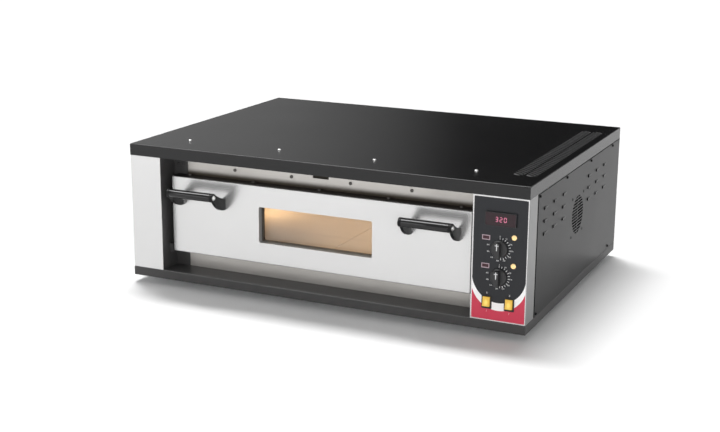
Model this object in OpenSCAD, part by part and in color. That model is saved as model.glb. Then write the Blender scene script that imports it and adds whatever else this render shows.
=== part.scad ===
// Countertop pizza oven, single deck, electric, with a drop-down door.
// Millimetres, +Z up, front towards -Y. The origin is under the middle of the bounding box, on the table.

/* [Casing] */
// Width of the casing
body_w = 1150; // [1120:1:1200]
// Depth of the casing, without handles
body_d = 850; // [820:1:900]
// Height of the casing, from base to cover
body_h = 376; // [370:1:390]
// Thickness of the casing sheet
sheet = 1.5; // [1:0.1:1.8]
// Outer bend radius of folded casing sheet
bend_r = 3; // [2.5:0.1:4]
// Height of the base tray
base_h = 25; // [22:0.5:28]
// Height of the cover's lip
lip_h = 32.5; // [28:0.5:35]
// Open seam between the cover's lip and the panels below it
seam = 2.5; // [1:0.5:4]
// Height of a foot
foot_h = 20; // [15:0.5:25]
// Diameter of a foot
foot_d = 40; // [30:1:50]
// Distance of a foot's centre from the casing's sides
foot_inset = 125; // [100:1:150]
// Width of the two sides' corner returns
corner_return = 62; // [56:1:70]
// Width of the groove between the control column and the right side
corner_gap = 8; // [6:0.5:12]
// Leg of the four frame angles
angle_leg = 20; // [16:1:22]
// Thickness of the frame angles
angle_t = 2; // [1.5:0.1:3]

/* [Front recess] */
// Width of the left post
post_w = 96; // [90:1:105]
// Width of the control column
column_w = 145; // [143:1:150]
// Depth of the recess, from front plane to jamb flange
recess_d = 72; // [71:0.5:76]
// Width of the jamb flange
jamb_w = 43; // [35:1:44]
// Width of the steam slot in the header
steam_w = 47; // [40:1:60]
// Height of the steam slot in the header
steam_h = 7; // [5:0.5:9]

/* [Door] */
// Distance of the door's face behind the front plane
door_inset = 35; // [34:0.5:36]
// Gap between the door's back and the jamb flange
door_play = 1.5; // [1.4:0.1:2]
// Gap between the door's ends and the recess walls
door_gap = 14; // [12:0.5:16]
// Height of the door's lower edge over the base
door_up = 49.5; // [46:0.5:54]
// Height of the door
door_h = 214; // [208:1:218]
// Thickness of the door sheet
door_sheet = 1.2; // [1:0.1:1.4]
// Width of the window
win_w = 335; // [300:1:350]
// Height of the window
win_h = 99; // [90:1:104]
// Corner radius of the window
win_r = 5; // [4:0.5:7]
// Distance of the outer pane behind the door's face
glass_set = 17; // [15:0.5:18]
// Thickness of a window pane
glass_t = 4; // [3:0.5:5]
// Distance of the hinge axis behind the door's face
axis_in = 12; // [11:0.5:13]
// Height of the hinge axis over the door's lower edge
axis_up = 7; // [6.5:0.1:7.5]
// Diameter of the hinge pins
pin_d = 7; // [6:0.1:8]
// Radial clearance of the hinge pins
pin_play = 0.05; // [0.02:0.01:0.1]

/* [Handles] */
// Distance of each handle's centre from the door's end
handle_in = 99.5; // [95:0.5:110]
// Length of the bar between the brackets
bar_l = 126; // [120:1:136]
// Diameter of the bar
bar_d = 24; // [20:0.5:26]
// Thickness of a bracket
bracket_t = 8; // [6:0.5:10]
// Reach of the bar's front over the door's face
handle_reach = 74; // [70:0.5:78]
// Height of the bar's axis over the door's lower edge
bar_up = 182.5; // [178:0.5:186]

/* [Chamber] */
// Distance of the mouth's sides from the recess walls
mouth_in = 46; // [44.5:0.5:54]
// Air gap between the wool and the back panel
back_gap = 42.5; // [32:0.5:72]
// Overlap of the closed door over the mouth's top
mouth_lap = 18; // [15:0.5:22]
// Thickness of the liner sheet
liner_t = 1; // [0.8:0.1:1.2]
// Thickness of the floor stones
stone_t = 20; // [18:0.5:22]
// Diameter of the heating rods
rod_d = 8; // [6.5:0.1:8.5]
// Distance between the two legs of a heating rod
rod_pitch = 100; // [90:1:104]
// Thickness of the wool over the chamber
wool_top_t = 80; // [60:1:86]
// Thickness of the wool at the left of the chamber
wool_side_t = 100; // [80:1:120]
// Thickness of the wool behind the chamber
wool_back_t = 80; // [60:1:100]

/* [Controls] */
// Thickness of the printed overlay
overlay_t = 0.8; // [0.5:0.1:1.2]
// Steel left bare round the overlay at its top and sides
overlay_rim = 3.5; // [2:0.5:6]
// Diameter of a thermostat knob
knob_d = 44; // [40:1:46]
// Height of a thermostat knob
knob_h = 24; // [20:0.5:26]
// Diameter of a thermostat shaft
shaft_d = 6; // [5:0.1:6.5]
// Radial clearance of a turning shaft
shaft_play = 0.05; // [0.02:0.01:0.1]
// Width of the display window
lens_w = 80; // [74:1:86]
// Height of the display window
lens_h = 34.5; // [32:0.5:38]
// Distance that the display's frame stands out of the panel
display_up = 6; // [4:0.5:8]
// Diameter of a pilot lamp
pilot_d = 13; // [12:0.5:15]
// Width of a switch bezel
bezel_w = 26; // [25:0.5:28]
// Height of a switch bezel
bezel_h = 34; // [33:0.5:36]
// Tilt of a rocker to each side
rocker_tilt = 9; // [7:0.5:10]

/* [Vents] */
// Width of a slotted band in the cover
band_w = 28; // [24:1:30]
// Length of a slotted band in the cover
band_l = 632; // [560:1:640]
// Pitch of the slots in a band
slot_pitch = 16; // [14:0.5:20]
// Width of a slot in a band
slot_w = 6; // [4:0.5:8]
// Rise of the lip along a slot
slot_lip = 1.5; // [1:0.1:2]
// Width of the lip along a slot
slot_lip_w = 2.5; // [2:0.1:3.5]
// Length of a pressed louvre
louvre_l = 48; // [40:1:52]
// Height of a pressed louvre
louvre_h = 13; // [10:0.5:14]
// Rise of a pressed louvre over the side's face
louvre_rise = 2.4; // [2:0.1:3.2]
// Diameter of the fan grille
grille_d = 105; // [98:1:114]
// Side of the cooling fan's square frame
fan_w = 119; // [116:1:122]
// Thickness of the cooling fan
fan_t = 38; // [32:1:40]
// Distance between the fan's screws
fan_pitch = 105; // [103:0.5:106]

/* [Hidden] */
$fn = 48;
eps = 0.5;
front = -body_d / 2;
back = body_d / 2;
left = -body_w / 2;
right = body_w / 2;
base_z = foot_h + base_h;
top_z = foot_h + body_h;
lip_z = top_z - lip_h;
panel_z = lip_z - seam;
under_z = top_z - sheet;
wall_l = left + post_w;
wall_r = right - column_w;
mid_x = (wall_l + wall_r) / 2;
flange_y = front + recess_d;
frame_y = flange_y + sheet;
in_y = frame_y + sheet;
head_flange = 45;
sill_flange = 25;

// door planes and hinge axis
door_w = wall_r - wall_l - 2 * door_gap;
door_x0 = mid_x - door_w / 2;
door_x1 = mid_x + door_w / 2;
door_y = front + door_inset;
door_t = recess_d - door_inset - door_play;
door_by = door_y + door_t;
door_z = base_z + door_up;
door_top = door_z + door_h;
door_r = 2 * door_sheet;
win_z = door_z + door_h / 2;
frame_rim = 7;
pane_lap = 4;
pane_play = 0.2;
axis_y = door_y + axis_in;
axis_z = door_z + axis_up;
block = 18;
block_w = 22;
bush_t = door_gap - 2;
bush_w = 24;
pin_out = door_gap - 3;
pin_in = 20;
door_screw_in = 40.5;
door_screw_pitch = (door_w - 2 * door_screw_in) / 4;
handle_at = door_w / 2 - handle_in;
bar_p = handle_reach - bar_d / 2;
bar_z = door_z + bar_up;
bracket_low = 46;
bracket_h = 30;
hollow_r = 126;
hollow_dx = 21;
head_d = 9;
head_h = 3.2;
screw_in = 5.5;
thread_d = 4;
washer_d = 13;
washer_t = 1.2;

// rows of screws along the recess's top
cover_screw_in = 32.25;
cover_pitch = (wall_r - wall_l - 2 * cover_screw_in) / 3;
header_screw_in = 193.5;
header_pitch = (wall_r - wall_l - 2 * header_screw_in) / 3;
header_drop = 29;

// chamber heights: the stone's top is level with the open door's inner face
stone_z = axis_z + door_t - axis_in;
mouth_z = stone_z - 3;
ceil_z = door_top - mouth_lap;
mouth_w = wall_r - wall_l - 2 * mouth_in;
chamber_d = back - sheet - in_y - liner_t - wool_back_t - back_gap;
cham_l = mid_x - mouth_w / 2;
cham_r = mid_x + mouth_w / 2;
cham_back = in_y + chamber_d;
pan_z = base_z + 32;
rod_top_z = ceil_z - 14.5;
rod_low_z = pan_z + 10;
rack_h = 8;
rack_w = 15;
rack_z = stone_z - stone_t - rack_h;
rod_play = 0.2;
rod_in = 120;
rod_y0 = in_y + rod_in;
rod_step = (chamber_d - 2 * rod_in) / 2;
support_t = 3;
support_rim = 15;
support_dx = mouth_w / 4;
rod_end_x = wall_r + sheet + 22;
bend_x = cham_l + 35 + rod_pitch / 2;
wool_z = base_z + sheet;
wool_top_z = ceil_z + liner_t + wool_top_t;

// controls on the column, all from its middle line
col_x = (wall_r + right) / 2;
lens_x = col_x + 1.5;
lens_z = lip_z - 55.5;
lens_t = 2;
lens_rim = 1.5;
frame_front = front - overlay_t - display_up;
overlay_foot = 3;
knob_top_z = lip_z - 130.5;
knob_low_z = lip_z - 202.5;
pilot_dx = 36.5;
pilot_dz = 32.5;
switch_dx = 29.3;
switch_z = base_z + 48.5;
ctrl_body = 38;
ctrl_l = 45;
neck_d = 10;
pilot_neck = 10;
cap_d = 2.4;
bulb_d = 6;
bulb_l = 106;
sheath_l = 66;
bulb_gap = 4;
cap_in = 10;
module_l = 58;
couple_drop = 35;
probe_y = rod_y0 + rod_step / 2;
couple_y = rod_y0 + rod_step - bulb_gap - cap_in;
rocker_w = 17.6;
rocker_h = 24;
rocker_deep = 9.4;
rocker_play = 0.4;
rocker_axis = front + 6;
case_w = 22.6;
case_h = 29.4;
case_l = 24;
pivot_d = 4;
pivot_play = 0.05;

// depth of the right side's joggled edge behind the control column, and its lap
joggle = 6;
joggle_lap = 12;

// louvre groups: their distance from the fan's middle, and their steps
louvre_near = 99;
louvre_far = 93;
louvre_step = 80;
louvre_top = 47;
louvre_drop = 33.2;

// cooling fan, lamp and back fittings
spine = 4;
grille_pitch = 8.3;
grille_slot = 5.2;
fan_z = base_z + 184.5;
fan_x = right - sheet - fan_t;
hub_d = 42;
hub_l = 25;
blade_l = 24;
fan_bore = fan_w - 5;
axle_d = 4;
axle_play = 0.05;
lamp_y = rod_y0 + 2 * rod_step - 60;
lamp_z = stone_z + 95;
lamp_d = 68;
socket_d = 30;
gland_out = handle_reach - door_inset;
gland_x = col_x;
gland_up = 50;
air_up = 75;
air_h = 38;
back_seam = 0.5;
gland_z = base_z + gland_up;
gland_d = 25;

// Box from corner to corner
module span(a, b) {
  translate(a) cube(b - a);
}

// Rods along each axis, from a point
module rod_x(p, l, d) {
  translate(p) rotate([0, 90, 0]) cylinder(d = d, h = l);
}

module rod_y(p, l, d) {
  translate(p) rotate([-90, 0, 0]) cylinder(d = d, h = l);
}

// Rectangle with round corners, centred
module round_rect(w, h, r) {
  square([w - 2 * r, h], center = true);
  square([w, h - 2 * r], center = true);
  for (sx = [-1, 1], sy = [-1, 1])
    translate([sx * (w / 2 - r), sy * (h / 2 - r)]) circle(r);
}

// Rounded plate that faces the front, from depth y over a thickness
module face_plate(x, y, z, w, h, r, t) {
  translate([x, y + t, z]) rotate([90, 0, 0]) linear_extrude(t) round_rect(w, h, r);
}

// Block whose four top edges are bent round
module soft_block(w, d, h, r) {
  intersection() {
    rotate([90, 0, 90]) linear_extrude(w, center = true) soft_profile(d, h, r);
    rotate([90, 0, 0]) linear_extrude(d, center = true) soft_profile(w, h, r);
  }
}

module soft_profile(w, h, r) {
  translate([-w / 2, 0]) square([w, h - r]);
  translate([-w / 2 + r, 0]) square([w - 2 * r, h]);
  for (s = [-1, 1])
    translate([s * (w / 2 - r), h - r]) circle(r);
}

// Folded angle: legs along +X and +Y, the outer corner at the origin
module fold(a, b, t, r) {
  translate([r, 0]) square([a - r, t]);
  translate([0, r]) square([t, b - r]);
  intersection() {
    translate([r, r]) difference() {
      circle(r);
      circle(r - t);
    }
    square(r);
  }
}

// Pan-head screw along -Z from the origin: the head stands up, the shank goes down
module screw(l, d = thread_d) {
  cylinder(d1 = head_d, d2 = head_d * 0.6, h = head_h);
  translate([0, 0, -l]) cylinder(d = d, h = l);
}

module flat_screw(l, d = thread_d) {
  cylinder(d1 = head_d - 1, d2 = head_d - 2, h = head_h / 4);
  translate([0, 0, -l]) cylinder(d = d, h = l);
}

// Places of the casing's screws
module at_cover_screws() {
  for (i = [-1.5 : 1.5])
    translate([mid_x + i * cover_pitch, in_y + 30, top_z]) children();
}

module at_header_screws() {
  for (i = [-1.5 : 1.5])
    translate([mid_x + i * header_pitch, frame_y, lip_z - header_drop]) rotate([90, 0, 0]) children();
}

module at_jamb_screws() {
  for (dx = [-8, 8])
    translate([wall_l + jamb_w / 2 + dx, flange_y, lip_z - header_drop]) rotate([90, 0, 0]) children();
}

module at_side_screws() {
  for (s = [-1, 1]) {
    for (i = [0 : 3])
      side_spot(s, front + 80 + i * (body_d - 160) / 3, panel_z - screw_in) children();
    for (i = [0, 3])
      side_spot(s, front + 80 + i * (body_d - 160) / 3, base_z + 7) children();
  }
}

module side_spot(s, y, z) {
  translate([s * right, y, z]) rotate([0, s * 90, 0]) children();
}

module at_back_screws() {
  for (i = [-2 : 2], z = [base_z + 7, panel_z - screw_in])
    translate([i * (body_w - 40) / 4, back, z]) rotate([-90, 0, 0]) children();
}

module at_fan_screws() {
  for (sy = [-1, 1], sz = [-1, 1])
    side_spot(1, sy * fan_pitch / 2, fan_z + sz * fan_pitch / 2) children();
}

module at_door_screws() {
  for (i = [-2 : 2])
    translate([mid_x + i * door_screw_pitch, door_by - 5.5, door_top]) children();
}

module at_bar_ends() {
  for (s = [-1, 1], e = [-1, 1])
    translate([mid_x + s * handle_at + e * (bar_l / 2 + bracket_t), door_y - bar_p, bar_z])
      rotate([0, e * 90, 0]) children();
}

module at_feet() {
  for (sx = [-1, 1], sy = [-1, 1])
    translate([sx * (body_w / 2 - foot_inset), sy * (body_d / 2 - foot_inset), 0]) children();
}

// Y places of the heating rods' legs
rod_ys = [for (i = [0 : 2], s = [-1, 1]) rod_y0 + i * rod_step + s * rod_pitch / 2];

// Bores for both layers of heating rods between two X planes
module rod_bores(x0, x1) {
  for (y = rod_ys, z = [rod_low_z, rod_top_z])
    rod_x([x0, y, z], x1 - x0, rod_d + 2 * rod_play);
}

// Bores for the probes and the lamp between two X planes
module probe_bores(x0, x1) {
  for (p = [[probe_y, knob_top_z], [probe_y, rod_low_z + 3], [couple_y, ceil_z - couple_drop]])
    rod_x([x0, p[0], p[1]], x1 - x0, bulb_d + 2 * rod_play);
}

// Thin tube along axis-parallel legs, with quarter bends between them
module tube_path(pts, d, r) {
  n = len(pts);
  for (i = [0 : n - 2]) {
    a = (pts[i + 1] - pts[i]) / norm(pts[i + 1] - pts[i]);
    p = pts[i] + (i > 0 ? a * r : [0, 0, 0]);
    q = pts[i + 1] - (i < n - 2 ? a * r : [0, 0, 0]);
    frame_to(p, a) cylinder(d = d, h = norm(q - p));
  }
  for (i = [1 : n - 2]) {
    a = (pts[i] - pts[i - 1]) / norm(pts[i] - pts[i - 1]);
    b = (pts[i + 1] - pts[i]) / norm(pts[i + 1] - pts[i]);
    c = cross(a, b);
    o = pts[i] - a * r + b * r;
    multmatrix([[-b[0], a[0], c[0], o[0]], [-b[1], a[1], c[1], o[1]], [-b[2], a[2], c[2], o[2]]])
      rotate_extrude(angle = 90) translate([r, 0]) circle(d = d);
  }
}

// Turns +Z to the direction a, at point p
module frame_to(p, a) {
  translate(p) rotate([0, acos(a[2]), atan2(a[1], a[0])]) children();
}

// FEET AND BASE

// Four black feet with a threaded stud
module feet() {
  color("#1c1c1d") at_feet() {
    cylinder(d1 = foot_d - 6, d2 = foot_d, h = foot_h);
    cylinder(d = 8, h = foot_h + 14);
  }
}

// Plate that closes the base from below, with an upturned rim and air slots under the bay
module bottom_cover() {
  w = body_w - 2 * sheet;
  d = body_d - 2 * sheet;
  color("#8d9092") difference() {
    translate([-w / 2, -d / 2, foot_h]) cube([w, d, 12]);
    translate([-w / 2 + sheet, -d / 2 + sheet, foot_h + sheet])
      cube([w - 2 * sheet, d - 2 * sheet, 12]);
    at_feet() cylinder(d = 8, h = foot_h + 20);
    for (i = [-3 : 3])
      translate([col_x - 30, i * 22 - 3, foot_h - eps]) cube([60, 6, sheet + 2 * eps]);
  }
}

// Dark base tray: a folded pan, open below
module base_tray() {
  color("#4b4b4d") difference() {
    translate([0, 0, foot_h]) soft_block(body_w, body_d, base_h, bend_r);
    translate([0, 0, foot_h - 1])
      soft_block(body_w - 2 * sheet, body_d - 2 * sheet, base_h - sheet + 1, bend_r - sheet);
    for (i = [-3 : 3])
      translate([col_x - 30, i * 22 - 3, base_z - sheet - eps]) cube([60, 6, sheet + 2 * eps]);
  }
}

// FRAME AND CASING

// Four upright angles between base and cover
module frame_angles() {
  h = under_z - base_z - bend_r + sheet;
  color("#9b9ea0")
    for (sx = [0, 1], sy = [0, 1])
      mirror([sx, 0, 0]) mirror([0, sy, 0])
        translate([left + sheet, front + sheet, base_z]) linear_extrude(h)
          fold(angle_leg, angle_leg, angle_t, angle_t + 1);
}

// Stainless plate round the mouth, with a flange at top and bottom
module front_frame() {
  color("#b9b6b0") difference() {
    union() {
      span([wall_l - sheet, frame_y, base_z], [wall_r, in_y, under_z]);
      span([wall_l - sheet, frame_y, under_z - sheet], [wall_r, in_y + head_flange, under_z]);
      span([wall_l - sheet, frame_y, base_z], [wall_r, in_y + sill_flange, base_z + sheet]);
    }
    span([cham_l, frame_y - eps, mouth_z], [cham_r, in_y + eps, ceil_z]);
    translate([mid_x - steam_w / 2, frame_y - eps, lip_z - 26])
      cube([steam_w, sheet + 2 * eps, steam_h]);
    at_header_screws() translate([0, 0, -10]) cylinder(d = thread_d, h = 20);
    at_jamb_screws() translate([0, 0, -10]) cylinder(d = thread_d, h = 20);
    at_cover_screws() translate([0, 0, -10]) cylinder(d = thread_d, h = 20);
  }
}

// Dark left wall of the recess, bent into the jamb flange
module jamb_plate() {
  color("#3a3839") difference() {
    union() {
      span([wall_l - sheet, front + sheet, base_z], [wall_l, frame_y, under_z]);
      span([wall_l - sheet, flange_y, base_z], [wall_l + jamb_w, frame_y, under_z]);
    }
    at_jamb_screws() translate([0, 0, -10]) cylinder(d = thread_d, h = 20);
  }
}

// Stainless left post, folded round the front corner
module left_post() {
  color("#d8d8d6")
    translate([left, front, base_z]) linear_extrude(lip_z - base_z)
      fold(post_w, corner_return, sheet, bend_r);
}

// Bulkhead between the insulated chamber and the electrical bay
module bay_wall() {
  color("#3f3e40") difference() {
    span([wall_r, front + sheet, base_z], [wall_r + sheet, back - sheet, under_z]);
    rod_bores(wall_r - eps, wall_r + sheet + eps);
    probe_bores(wall_r - eps, wall_r + sheet + eps);
    rod_x([wall_r - eps, lamp_y, lamp_z], sheet + 2 * eps, socket_d);
  }
}

// Stainless shell of the control column, folded round the front corner
module column_shell() {
  color("#c9c9c8") difference() {
    translate([right, front, base_z]) mirror([1, 0, 0]) linear_extrude(lip_z - base_z)
      fold(column_w, corner_return, sheet, bend_r);
    control_holes(front - eps, sheet + 2 * eps);
    face_plate(lens_x, front - eps, lens_z, lens_w - 4, lens_h - 4, 1, sheet + 2 * eps);
  }
}

// Holes for knob necks, pilot lamps and switches through the column's face
module control_holes(y, t) {
  for (z = [knob_top_z, knob_low_z]) {
    rod_y([col_x, y, z], t, neck_d);
    rod_y([col_x + pilot_dx, y, z + pilot_dz], t, pilot_neck);
  }
  for (s = [-1, 1])
    face_plate(col_x + s * switch_dx, y, switch_z, case_w, case_h, 1, t);
}

// Dark left side panel
module left_side() {
  color("#555557") difference() {
    span([left, front + corner_return, base_z], [left + sheet, back - sheet, panel_z]);
    at_side_screws() translate([0, 0, -10]) cylinder(d = thread_d, h = 20);
  }
}

// Dark right side panel with pressed louvres and the fan grille
module right_side() {
  edge = front + corner_return + corner_gap;
  color("#58585a") difference() {
    union() {
      span([right - sheet, edge, base_z], [right, back - sheet, panel_z]);
      span([right - joggle - sheet, edge, base_z], [right - sheet / 2, edge + sheet, panel_z]);
      span([right - joggle - sheet, edge - corner_gap - joggle_lap, base_z],
        [right - joggle, edge + sheet, panel_z]);
      at_louvres() intersection() {
        louvre_cone(0, 0);
        translate([-sheet / 2, -1, -louvre_h]) cube([louvre_h, louvre_l + 2, 2 * louvre_h]);
      }
    }
    at_louvres() louvre_cone(sheet * 0.55, 1);
    at_side_screws() translate([0, 0, -10]) cylinder(d = thread_d, h = 20);
    at_fan_screws() translate([0, 0, -10]) cylinder(d = thread_d, h = 20);
    translate([right + eps, 0, fan_z]) rotate([0, -90, 0]) linear_extrude(sheet + 2 * eps)
      grille_slots();
  }
}

// A pressed louvre: a cone that opens to the front and runs out in the face, set in by a wall
module louvre_cone(wall, open) {
  translate([louvre_rise - louvre_h / 2, -open, 0]) rotate([-90, 0, 0])
    cylinder(r1 = louvre_h / 2 - wall, r2 = louvre_h / 2 - louvre_rise - 0.4 - wall / 2,
      h = louvre_l + open);
}

// Front ends of the pressed louvres, in two groups of three by three
module at_louvres() {
  for (y0 = [-louvre_near - louvre_l - 2 * louvre_step, louvre_far], i = [0 : 2], k = [0 : 2])
    translate([right, y0 + i * louvre_step, lip_z - louvre_top - k * louvre_drop]) children();
}

// Rows of slots inside a circle, broken by a spine
module grille_slots() {
  intersection() {
    circle(d = grille_d);
    for (i = [-6 : 6], s = [-1, 1])
      translate([i * grille_pitch - grille_slot / 2, s < 0 ? -grille_d / 2 : spine / 2])
        square([grille_slot, (grille_d - spine) / 2]);
  }
}

// Plain back panel with holes for the cable gland and two rows of air slots
module back_panel() {
  color("#7d8082") difference() {
    span([left, back - sheet, base_z], [right, back, lip_z - back_seam]);
    at_back_screws() translate([0, 0, -10]) cylinder(d = thread_d, h = 20);
    rod_y([gland_x, back - sheet - eps, gland_z], sheet + 2 * eps, gland_d);
    for (i = [-4 : 4])
      translate([col_x - 3 + i * 11, back - sheet - eps, base_z + air_up])
        cube([5, sheet + 2 * eps, air_h]);
  }
}

// Dark lid, folded down on all four sides, with two slotted bands over the bay
module top_cover() {
  color("#3c3c3e") difference() {
    translate([0, 0, lip_z]) soft_block(body_w, body_d, lip_h, bend_r);
    translate([0, 0, lip_z - 1])
      soft_block(body_w - 2 * sheet, body_d - 2 * sheet, lip_h - sheet + 1, bend_r - sheet);
    at_cover_screws() translate([0, 0, -10]) cylinder(d = thread_d, h = 20);
    translate([0, 0, under_z - eps]) linear_extrude(sheet + 2 * eps) band_stripes(slot_w, 0);
  }
  color("#3c3c3e") translate([0, 0, top_z - eps]) linear_extrude(slot_lip + eps)
    band_stripes(slot_lip_w, slot_w / 2 + slot_lip_w / 2 + 0.3);
}

// Slanted stripes inside the two bands: the slots, and the lips that stand along them
module band_stripes(w, shift) {
  for (x = [col_x + 3.5, col_x + 36.5])
    intersection() {
      translate([x - band_w / 2, -band_l / 2 - 3]) square([band_w, band_l]);
      for (y = [-band_l / 2 + 8 : slot_pitch : band_l / 2 - 14])
        translate([x, y]) rotate(-40) translate([0, shift]) square([2 * band_w, w], center = true);
    }
}

// All screws that hold the fixed casing, as pan heads with short shanks
module casing_screws() {
  color("#b5b5b2") {
    at_cover_screws() screw(2 * sheet);
    at_header_screws() screw(sheet);
    at_jamb_screws() screw(2 * sheet);
    at_side_screws() screw(sheet);
    at_back_screws() screw(sheet);
    at_fan_screws() flat_screw(sheet + 8);
  }
}

// CHAMBER

// Steel liner, open at the front
module chamber_liner() {
  color("#9a938a") difference() {
    span([cham_l - liner_t, in_y, pan_z - liner_t],
      [cham_r + liner_t, cham_back + liner_t, ceil_z + liner_t]);
    span([cham_l, in_y - eps, pan_z], [cham_r, cham_back, ceil_z]);
    rod_bores(cham_r - eps, cham_r + liner_t + eps);
    probe_bores(cham_r - eps, cham_r + liner_t + eps);
    rod_x([cham_r - eps, lamp_y, lamp_z], liner_t + 2 * eps, lamp_d);
  }
}

// Two refractory slabs side by side
module floor_stones() {
  gap = 2;
  color("#cdb892")
    for (x = [cham_l + gap, mid_x + gap / 2])
      translate([x, in_y + gap, stone_z - stone_t])
        cube([mouth_w / 2 - 1.5 * gap, chamber_d - 2 * gap, stone_t]);
}

// Welded rack that carries the stones: three bars, two cross bars and six legs
module stone_rack() {
  y0 = in_y + 4;
  y1 = cham_back - 4;
  color("#6a6763")
    for (x = [cham_l + 2, mid_x - rack_w / 2, cham_r - 2 - rack_w]) {
      span([x, y0, rack_z], [x + rack_w, y1, rack_z + rack_h]);
      for (y = [y0, y1 - rack_w])
        span([x, y, pan_z], [x + rack_w, y + rack_w, rack_z + eps]);
      for (y = [y0, y1 - rack_w])
        span([cham_l + 2, y, rack_z], [cham_r - 2, y + rack_w, rack_z + rack_h]);
    }
}

// One layer of three hairpin heating rods with collars in the bay
module hairpins(z) {
  for (i = [0 : 2])
    translate([0, rod_y0 + i * rod_step, z]) {
      for (s = [-1, 1]) {
        rod_x([bend_x, s * rod_pitch / 2, 0], rod_end_x - bend_x, rod_d);
        rod_x([wall_r + sheet, s * rod_pitch / 2, 0], 6, 2 * rod_d);
        rod_x([rod_end_x - eps, s * rod_pitch / 2, 0], 10, rod_d / 2);
      }
      translate([bend_x, 0, 0]) rotate([0, 0, 90]) rotate_extrude(angle = 180)
        translate([rod_pitch / 2, 0]) circle(d = rod_d);
    }
}

module element_top() {
  color("#5d5a58") hairpins(rod_top_z);
}

module element_bottom() {
  color("#5d5a58") hairpins(rod_low_z);
}

// Bored plates that hang the upper rods and carry the lower ones
module element_supports() {
  color("#7b7773") difference() {
    for (x = [mid_x - support_dx, mid_x + support_dx - support_t]) {
      span([x, rod_ys[0] - support_rim, rod_top_z - 10],
        [x + support_t, rod_ys[5] + support_rim, ceil_z]);
      span([x, rod_ys[0] - support_rim, pan_z],
        [x + support_t, rod_ys[5] + support_rim, rod_low_z + 8]);
    }
    rod_bores(cham_l, cham_r);
  }
}

// Mineral wool round the chamber
module wool_top() {
  color("#d9cf9f")
    span([cham_l - liner_t, in_y, ceil_z + liner_t],
      [cham_r + liner_t, cham_back + liner_t, wool_top_z]);
}

module wool_bottom() {
  color("#d9cf9f")
    span([cham_l - liner_t, in_y + sill_flange, base_z],
      [cham_r + liner_t, cham_back + liner_t, pan_z - liner_t]);
}

module wool_left() {
  color("#d9cf9f")
    span([cham_l - liner_t - wool_side_t, in_y + sill_flange, base_z],
      [cham_l - liner_t, cham_back + liner_t, wool_top_z]);
}

module wool_right() {
  color("#d9cf9f") difference() {
    span([cham_r + liner_t, in_y + sill_flange, base_z], [wall_r, cham_back + liner_t, wool_top_z]);
    rod_bores(cham_r, wall_r + eps);
    probe_bores(cham_r, wall_r + eps);
    rod_x([cham_r, lamp_y, lamp_z], wall_r - cham_r + eps, lamp_d);
  }
}

module wool_back() {
  color("#d9cf9f")
    span([cham_l - liner_t - wool_side_t, cham_back + liner_t, base_z],
      [wall_r, cham_back + liner_t + wool_back_t, wool_top_z]);
}

// CHAMBER LAMP

// Steel cup with a flange in the chamber and a ceramic socket through the bulkhead
module lamp_holder() {
  color("#c8c2b6") translate([0, lamp_y, lamp_z]) difference() {
    union() {
      rod_x([cham_r - 2, 0, 0], wall_r - cham_r + 2, lamp_d);
      rod_x([cham_r - 2, 0, 0], 2, lamp_d + 12);
      rod_x([wall_r - 20, 0, 0], 20 + sheet + 22, socket_d);
    }
    difference() {
      rod_x([cham_r - 2 - eps, 0, 0], wall_r - cham_r + eps, lamp_d - 3);
      rod_x([wall_r - 20, 0, 0], 20, socket_d);
    }
    rod_x([wall_r - 20 - eps, 0, 0], 12 + eps, 13);
  }
}

// Oven bulb in its socket: a stepped glass body with a narrow neck
module lamp_bulb() {
  color("#f4e6c4") translate([wall_r - 39, lamp_y, lamp_z]) rotate([0, 90, 0])
    rotate_extrude()
      polygon([[0, 0], [5, 1], [8, 4], [9, 8], [8, 12], [6.5, 15], [6.5, 31], [0, 31]]);
}

// Borosilicate cup over the bulb
module lamp_glass() {
  r = lamp_d / 2 - 1.5;
  color("#e9efee", 0.5) translate([cham_r - 12, lamp_y, lamp_z]) rotate([0, 90, 0])
    rotate_extrude() difference() {
      union() {
        square([r - 4, 14]);
        translate([0, 14]) square([r, 3]);
      }
      translate([0, 3]) square([r - 7, 20]);
    }
}

// CONTROLS

// Printed overlay on the column's face
module overlay() {
  low = base_z + overlay_foot;
  h = lip_z - overlay_rim - low;
  color("#3b3b3d") difference() {
    face_plate(col_x, front - overlay_t, low + h / 2, column_w - 2 * overlay_rim, h, 2, overlay_t);
    control_holes(front - overlay_t - eps, overlay_t + 2 * eps);
    face_plate(lens_x, front - overlay_t - eps, lens_z, lens_w, lens_h, 1.5, overlay_t + 2 * eps);
  }
}

// Red window of the temperature display, let into the module's frame
module display_lens() {
  color("#2a1416", 0.8)
    face_plate(lens_x, frame_front + 0.4, lens_z, lens_w - 2 * lens_rim, lens_h - 2 * lens_rim,
      1, lens_t);
}

// Display module, with its frame standing out of the panel round the window
module controller() {
  color("#232324") difference() {
    union() {
      face_plate(lens_x, front, lens_z, lens_w - 4, lens_h - 4, 1, module_l);
      face_plate(lens_x, frame_front, lens_z, lens_w, lens_h, 1.5, front - frame_front);
    }
    face_plate(lens_x, frame_front - eps, lens_z, lens_w - 2 * lens_rim, lens_h - 2 * lens_rim,
      1, lens_t + 0.4 + eps);
  }
}

// Temperature sensor of the display: a thin sheath from the module into the chamber
module thermocouple() {
  z = ceil_z - couple_drop;
  color("#a9a9a6") {
    tube_path([[col_x, front + module_l, lens_z], [col_x, couple_y, lens_z], [col_x, couple_y, z],
      [cham_r - cap_in, couple_y, z]], cap_d, 12);
    rod_x([cham_r - bulb_gap - sheath_l, couple_y, z], sheath_l, bulb_d - 2);
  }
}

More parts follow.
